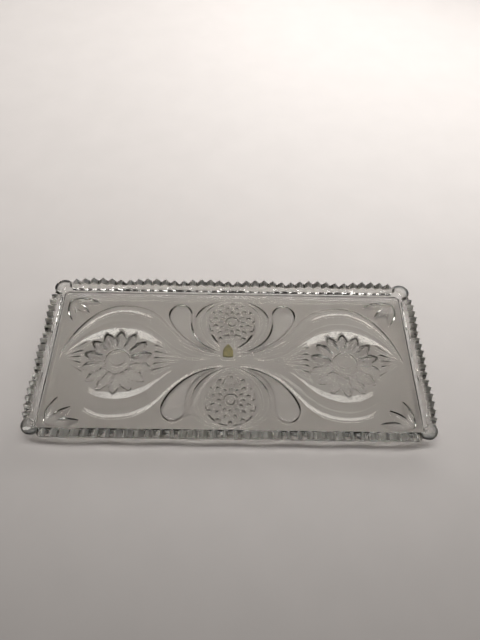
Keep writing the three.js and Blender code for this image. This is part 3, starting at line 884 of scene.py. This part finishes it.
def glass_surface(tray):
    """The closed body of glass: the underside grid, the rim carried round it and the flat floor inside."""
    rim = tray.rim
    lines = (
        side_runs(rim, rim.long_scallops, FLOOR_HALF_LENGTH),
        side_runs(rim, rim.short_scallops, FLOOR_HALF_WIDTH),
    )
    across, down = len(lines[0]) - 1, len(lines[1]) - 1
    x, y = np.meshgrid(*lines, indexing="ij")
    height, grain = underside(x, y, tray)
    under = np.stack((x, y, height), axis=2).reshape(-1, 3)
    index = np.arange(x.size).reshape(x.shape)
    edge = np.zeros(x.shape, bool)
    edge[[0, -1]] = edge[:, [0, -1]] = True
    ring_at = np.full(x.shape, -1)
    ring_at[edge] = x.size + np.arange(edge.sum())
    ring_points = np.stack((x[edge], y[edge], np.full(edge.sum(), FLOOR_TOP)), axis=1)
    wall = rim_surface(rim)
    stations, points = wall.shape[:2]
    places = boundary(across, down, rim.lobe_steps)
    skin = np.empty((stations, points), int)
    skin[:, 0] = index[places]
    skin[:, -1] = ring_at[places]
    first = x.size + edge.sum()
    skin[:, 1:-1] = first + np.arange(stations * (points - 2)).reshape(stations, -1)
    follow = np.roll(skin, -1, axis=0)
    quads = np.stack((skin[:, :-1], follow[:, :-1], follow[:, 1:], skin[:, 1:]), axis=2).reshape(-1, 4)
    vertices = np.concatenate((under, ring_points, wall[:, 1:-1].reshape(-1, 3)))
    faces = np.concatenate((grid_faces(height, index), split(quads), top_faces(ring_at, across, down)))
    frost = np.clip((vertices[:, 2] - rim.land_height) / FROST_RISE, 0, 1)
    sand = frost * tray.glass.tooth_grain
    sand[: x.size] = grain.ravel()
    return vertices, faces, tooth_creases(skin, rim), {"sand": sand, "frost": frost}


# Share of the outline's reach and of the thickness at each row, from the top over the edge to the bottom.
LABEL_PROFILE = ((0.35, 1), (0.7, 1), (0.96, 1), (1, 0.7), (1, 0.3), (0.96, 0), (0.7, 0), (0.35, 0))
LABEL_STEPS = 16


def bow(a, b, c):
    """Points of a quadratic curve from a to c that its handle b pulls on."""
    t = np.linspace(0, 1, LABEL_STEPS)[:, None]
    return (1 - t) ** 2 * np.array(a) + 2 * t * (1 - t) * np.array(b) + t**2 * np.array(c)


def label_outline(label, half):
    """The label's outline: a straight front edge, round corners, and sides that lean in to a point behind."""
    shoulder = label.shoulder - half.y
    right = np.vstack(
        (
            bow((half.x - label.corner, -half.y), (half.x, -half.y), (half.x, label.corner - half.y)),
            bow((half.x, shoulder), (half.x, (shoulder + half.y) / 2), (0, half.y)),
        )
    )
    left = right[-2::-1] * (-1, 1)
    return np.vstack((right, left)).T


def label_surface(tray):
    """The label: a thin closed sheet, its outline drawn from the middle over the edge and back."""
    reach, level = np.array(LABEL_PROFILE).T
    centre, half = (LABEL_LOW + LABEL_HIGH) / 2, (LABEL_HIGH - LABEL_LOW) / 2
    outline = label_outline(tray.label, half)
    around = outline.shape[1]
    sink = 0.02 * MM
    x = centre.x + reach[:, None] * outline[0]
    y = centre.y + reach[:, None] * outline[1]
    z = np.repeat(LABEL_LOW.z + (2 * half.z - sink) * level[:, None], around, axis=1)
    rows = len(reach)
    index = np.arange(rows * around).reshape(rows, -1)
    turned = np.roll(index, -1, axis=1)
    sides = split(np.stack((index[:-1], index[1:], turned[1:], turned[:-1]), axis=2).reshape(-1, 4))
    poles = np.array(((centre.x, centre.y, z[0, 0]), (centre.x, centre.y, z[-1, 0])))
    top, bottom = rows * around, rows * around + 1
    caps = (
        np.stack((np.full(around, top), index[0], turned[0]), 1),
        np.stack((np.full(around, bottom), turned[-1], index[-1]), 1),
    )
    return np.concatenate((np.stack((x, y, z), 2).reshape(-1, 3), poles)), np.concatenate((sides, *caps))


def edge_keys(pairs, size):
    """One whole number for each edge, the same whichever of its ends comes first."""
    pairs = pairs.astype(np.int64)
    return np.min(pairs, axis=1) * size + np.max(pairs, axis=1)


def make_piece(name, vertices, faces, material, nodes, creases=(), fields=None):
    """Puts a surface into a new object that rides on the tray and stands for its solids."""
    mesh = bpy.data.meshes.new(name)
    mesh.from_pydata(vertices, [], faces)
    if mesh.validate():
        raise RuntimeError(f"{name}: the surface has faulty faces")
    mesh.shade_smooth()
    if len(creases):
        ends = np.empty(2 * len(mesh.edges), np.int32)
        mesh.edges.foreach_get("vertices", ends)
        keys = edge_keys(ends.reshape(-1, 2), len(vertices))
        sharp = mesh.attributes.new("sharp_edge", "BOOLEAN", "EDGE")
        sharp.data.foreach_set("value", np.isin(keys, edge_keys(creases, len(vertices))))
    for key, values in (fields or {}).items():
        mesh.attributes.new(key, "FLOAT", "POINT").data.foreach_set("value", values)
    mesh.materials.append(material)
    piece = bpy.data.objects.new(name, mesh)
    bpy.context.scene.collection.objects.link(piece)
    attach(piece, "root")
    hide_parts(*nodes)
    return piece


def new_material(name):
    """An empty node material with its output."""
    material = bpy.data.materials.new(name)
    material.use_nodes = True
    nodes = material.node_tree.nodes
    nodes.clear()
    return material, nodes, material.node_tree.links, nodes.new("ShaderNodeOutputMaterial")


def noise(nodes, links, source, scale, detail=2.0):
    """A noise texture on Object coordinates, with so many features to the metre."""
    texture = nodes.new("ShaderNodeTexNoise")
    texture.inputs["Scale"].default_value = scale
    texture.inputs["Detail"].default_value = detail
    links.new(source, texture.inputs["Vector"])
    return texture.outputs["Fac"]


def field(nodes, name):
    """The value that the mesh carries under that name."""
    node = nodes.new("ShaderNodeAttribute")
    node.attribute_name = name
    return node.outputs["Fac"]


# The part of a noise's range that is spread.
NOISE_LOW = 0.35
NOISE_HIGH = 0.7


def remap(nodes, links, source, low, high):
    """Spreads a noise between two values."""
    node = nodes.new("ShaderNodeMapRange")
    node.inputs["From Min"].default_value = NOISE_LOW
    node.inputs["From Max"].default_value = NOISE_HIGH
    node.inputs["To Min"].default_value = low
    node.inputs["To Max"].default_value = high
    links.new(source, node.inputs["Value"])
    return node.outputs["Result"]


def glass_material(finish):
    """Clear pressed glass: gentle mould waves, fine grain, faint smudges, and a depth that takes up light,
    strong enough to paint in the shade under the tray.
    """
    material, nodes, links, output = new_material("clear_pressed_glass")
    place = nodes.new("ShaderNodeTexCoord").outputs["Object"]
    glass = nodes.new("ShaderNodeBsdfPrincipled")
    glass.inputs["Base Color"].default_value = (*finish.tint, 1)
    glass.inputs["Transmission Weight"].default_value = 1
    glass.inputs["IOR"].default_value = finish.ior
    smudge = noise(nodes, links, place, finish.wave_scale / 2, 4)
    rough = nodes.new("ShaderNodeMath")
    rough.operation = "MULTIPLY_ADD"
    links.new(field(nodes, "frost"), rough.inputs[0])
    rough.inputs[1].default_value = finish.sand_haze
    links.new(remap(nodes, links, smudge, finish.polish, finish.polish + finish.haze), rough.inputs[2])
    links.new(rough.outputs["Value"], glass.inputs["Roughness"])
    waves = nodes.new("ShaderNodeBump")
    waves.inputs["Strength"].default_value = 1
    waves.inputs["Distance"].default_value = finish.wave_height
    links.new(noise(nodes, links, place, finish.wave_scale), waves.inputs["Height"])
    grain = nodes.new("ShaderNodeMath")
    grain.operation = "MULTIPLY"
    links.new(field(nodes, "sand"), grain.inputs[0])
    links.new(noise(nodes, links, place, finish.sand_scale), grain.inputs[1])
    sand = nodes.new("ShaderNodeBump")
    sand.inputs["Strength"].default_value = 1
    sand.inputs["Distance"].default_value = finish.sand_height
    links.new(grain.outputs["Value"], sand.inputs["Height"])
    links.new(waves.outputs["Normal"], sand.inputs["Normal"])
    links.new(sand.outputs["Normal"], glass.inputs["Normal"])
    links.new(glass.outputs["BSDF"], output.inputs["Surface"])
    # Painted shade: the glass's depth takes up far more light than clear glass does, and darkens the tray as
    # the shadow under it would.
    depth = nodes.new("ShaderNodeVolumeAbsorption")
    depth.inputs["Color"].default_value = (*finish.depth_tint_and_painted_shade, 1)
    depth.inputs["Density"].default_value = finish.depth_density_and_painted_shade
    links.new(depth.outputs["Volume"], output.inputs["Volume"])
    return material


def foil_material(finish):
    """Olive-gold foil on paper, rubbed in patches, with a fine crinkle."""
    material, nodes, links, output = new_material("olive_gold_foil")
    place = nodes.new("ShaderNodeTexCoord").outputs["Object"]
    foil = nodes.new("ShaderNodeBsdfPrincipled")
    foil.inputs["Metallic"].default_value = 0.3
    wear = noise(nodes, links, place, finish.grain_scale / 5, 3)
    blend = nodes.new("ShaderNodeMix")
    blend.data_type = "RGBA"
    blend.inputs["A"].default_value = (*finish.gold, 1)
    blend.inputs["B"].default_value = (*finish.worn, 1)
    links.new(remap(nodes, links, wear, 0, 1), blend.inputs["Factor"])
    links.new(blend.outputs["Result"], foil.inputs["Base Color"])
    links.new(remap(nodes, links, wear, 0.35, 0.6), foil.inputs["Roughness"])
    crinkle = nodes.new("ShaderNodeBump")
    crinkle.inputs["Strength"].default_value = 0.4
    crinkle.inputs["Distance"].default_value = 0.05 * MM
    links.new(noise(nodes, links, place, finish.grain_scale), crinkle.inputs["Height"])
    links.new(crinkle.outputs["Normal"], foil.inputs["Normal"])
    links.new(foil.outputs["BSDF"], output.inputs["Surface"])
    return material


# Shade of the table's darker patches, and how many lie on a metre.
TABLE_SHADE = 0.97
TABLE_PATCHES = 30


def table_material(stage):
    """A pale matt table with the faintest unevenness."""
    material, nodes, links, output = new_material("pale_table")
    place = nodes.new("ShaderNodeTexCoord").outputs["Object"]
    paint = nodes.new("ShaderNodeBsdfPrincipled")
    blend = nodes.new("ShaderNodeMix")
    blend.data_type = "RGBA"
    blend.inputs["A"].default_value = (*(TABLE_SHADE * channel for channel in stage.table), 1)
    blend.inputs["B"].default_value = (*stage.table, 1)
    patches = noise(nodes, links, place, TABLE_PATCHES, 4)
    links.new(remap(nodes, links, patches, 0, 1), blend.inputs["Factor"])
    links.new(blend.outputs["Result"], paint.inputs["Base Color"])
    paint.inputs["Roughness"].default_value = 0.6
    links.new(paint.outputs["BSDF"], output.inputs["Surface"])
    return material


class CRYSTALTRAY_OT_press_glass(bpy.types.Operator):
    """Press the tray's glass as one closed body"""

    bl_idname = "crystal_tray.press_glass"
    bl_label = "Press Glass"

    def execute(self, context):
        tray = context.scene.crystal_tray
        vertices, faces, creases, fields = glass_surface(tray)
        glass = glass_material(tray.glass)
        make_piece("glass_tray", vertices, faces, glass, GLASS_NODES, creases, fields)
        return {"FINISHED"}


class CRYSTALTRAY_OT_stick_label(bpy.types.Operator):
    """Stick the small foil label into its recess in the underside"""

    bl_idname = "crystal_tray.stick_label"
    bl_label = "Stick Label"

    def execute(self, context):
        tray = context.scene.crystal_tray
        vertices, faces = label_surface(tray)
        make_piece("foil_label", vertices, faces, foil_material(tray.label), ["centre_label"])
        return {"FINISHED"}


# Name, place, target, size, power in watts and spread in degrees.
LAMPS = (
    ("ceiling_panel", (0, 0.1, 1.25), (0, 1, 0), (1.45, 0.34), 15.5, 113),
    ("back_window", (0.3, 0.55, 0.35), (0, 0, 0), (0.8, 0.3), 2.4, 180),
    ("side_window", (1.2, 0.5, 0.6), (0, 0, 0), (0.6, 0.6), 1.2, 180),
)


class CRYSTALTRAY_OT_set_stage(bpy.types.Operator):
    """Lay the pale table, hang the lamps and place the camera"""

    bl_idname = "crystal_tray.set_stage"
    bl_label = "Set Stage"

    def execute(self, context):
        stage = context.scene.crystal_tray.stage
        self.lay_table(context, stage)
        self.hang_lamps(context, stage)
        self.paint_sky(context, stage)
        self.place_camera(context, stage)
        context.scene.view_settings.view_transform = "Standard"
        # Small bright reflections in the glass stay sharp.
        context.scene.cycles.blur_glossy = 0
        return {"FINISHED"}

    def lay_table(self, context, stage):
        """One wide square face, a little under the glass."""
        half = stage.table_half
        corners = [(x * half, y * half, -stage.table_gap) for x, y in ((-1, -1), (1, -1), (1, 1), (-1, 1))]
        mesh = bpy.data.meshes.new("table")
        mesh.from_pydata(corners, [], [(0, 1, 2, 3)])
        mesh.materials.append(table_material(stage))
        table = bpy.data.objects.new("table", mesh)
        context.scene.collection.objects.link(table)

    def hang_lamps(self, context, stage):
        """Rectangular lamps, each turned from its place to its target."""
        for name, place, target, size, power, spread in LAMPS:
            lamp = bpy.data.lights.new(name, "AREA")
            lamp.shape = "RECTANGLE"
            lamp.size, lamp.size_y = size
            lamp.energy = stage.lamp_power * power
            lamp.spread = math.radians(spread)
            hung = bpy.data.objects.new(name, lamp)
            hung.location = place
            hung.rotation_mode = "QUATERNION"
            hung.rotation_quaternion = (Vector(target) - Vector(place)).to_track_quat("-Z", "Y")
            context.scene.collection.objects.link(hung)

    def paint_sky(self, context, stage):
        """A plain sky: the horizon's colour below, rising to the zenith's by the height of the view ray."""
        world = bpy.data.worlds.new("studio")
        context.scene.world = world
        world.use_nodes = True
        nodes, links = world.node_tree.nodes, world.node_tree.links
        nodes.clear()
        way = nodes.new("ShaderNodeTexCoord").outputs["Generated"]
        parts = nodes.new("ShaderNodeSeparateXYZ")
        links.new(way, parts.inputs["Vector"])
        ramp = nodes.new("ShaderNodeValToRGB")
        ramp.color_ramp.elements[0].color = (*stage.sky_low, 1)
        ramp.color_ramp.elements[1].color = (*stage.sky_high, 1)
        links.new(parts.outputs["Z"], ramp.inputs["Fac"])
        light = nodes.new("ShaderNodeBackground")
        links.new(ramp.outputs["Color"], light.inputs["Color"])
        output = nodes.new("ShaderNodeOutputWorld")
        links.new(light.outputs["Background"], output.inputs["Surface"])

    def place_camera(self, context, stage):
        """The camera looks from its place to its aim and is rolled about that line."""
        lens_data = bpy.data.cameras.new("photo_camera")
        lens_data.sensor_width = SENSOR
        lens_data.lens = stage.focal / IMAGE_LONG_SIDE * SENSOR
        lens_data.clip_start = 0.01
        camera = bpy.data.objects.new("photo_camera", lens_data)
        way = Vector(stage.aim) - Vector(stage.camera)
        camera.location = stage.camera
        camera.rotation_mode = "QUATERNION"
        camera.rotation_quaternion = way.to_track_quat("-Z", "Y") @ Quaternion((0, 0, 1), stage.roll)
        context.scene.collection.objects.link(camera)
        context.scene.camera = camera


class CRYSTALTRAY_PT_sidebar(bpy.types.Panel):
    """The tray's operators and sizes in the 3D view's sidebar"""

    bl_idname = "CRYSTALTRAY_PT_sidebar"
    bl_label = "Crystal Tray"
    bl_space_type = "VIEW_3D"
    bl_region_type = "UI"
    bl_category = "Tray"

    def draw(self, context):
        for operator in OPERATORS:
            self.layout.operator(operator.bl_idname)
        tray = context.scene.crystal_tray
        for group in ("rim", "eye", "oval", "petal", "glass", "label", "stage"):
            box = self.layout.box()
            box.label(text=group.title())
            settings = getattr(tray, group)
            for name in settings.__annotations__:
                box.prop(settings, name)


OPERATORS = (CRYSTALTRAY_OT_press_glass, CRYSTALTRAY_OT_stick_label, CRYSTALTRAY_OT_set_stage)
CLASSES = (
    RimSizes,
    EyeSizes,
    OvalSizes,
    PetalSizes,
    GlassFinish,
    LabelFinish,
    StageSettings,
    TraySettings,
    *OPERATORS,
    CRYSTALTRAY_PT_sidebar,
)


def register():
    """Registers the classes and hangs the settings on the scene."""
    for each in CLASSES:
        bpy.utils.register_class(each)
    bpy.types.Scene.crystal_tray = bpy.props.PointerProperty(type=TraySettings)


def unregister():
    """Takes the settings and the classes away again."""
    del bpy.types.Scene.crystal_tray
    for each in reversed(CLASSES):
        bpy.utils.unregister_class(each)


def main():
    """Registers the add-on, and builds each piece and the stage."""
    register()
    bpy.ops.crystal_tray.press_glass()
    bpy.ops.crystal_tray.stick_label()
    bpy.ops.crystal_tray.set_stage()


if __name__ == "__main__":
    main()
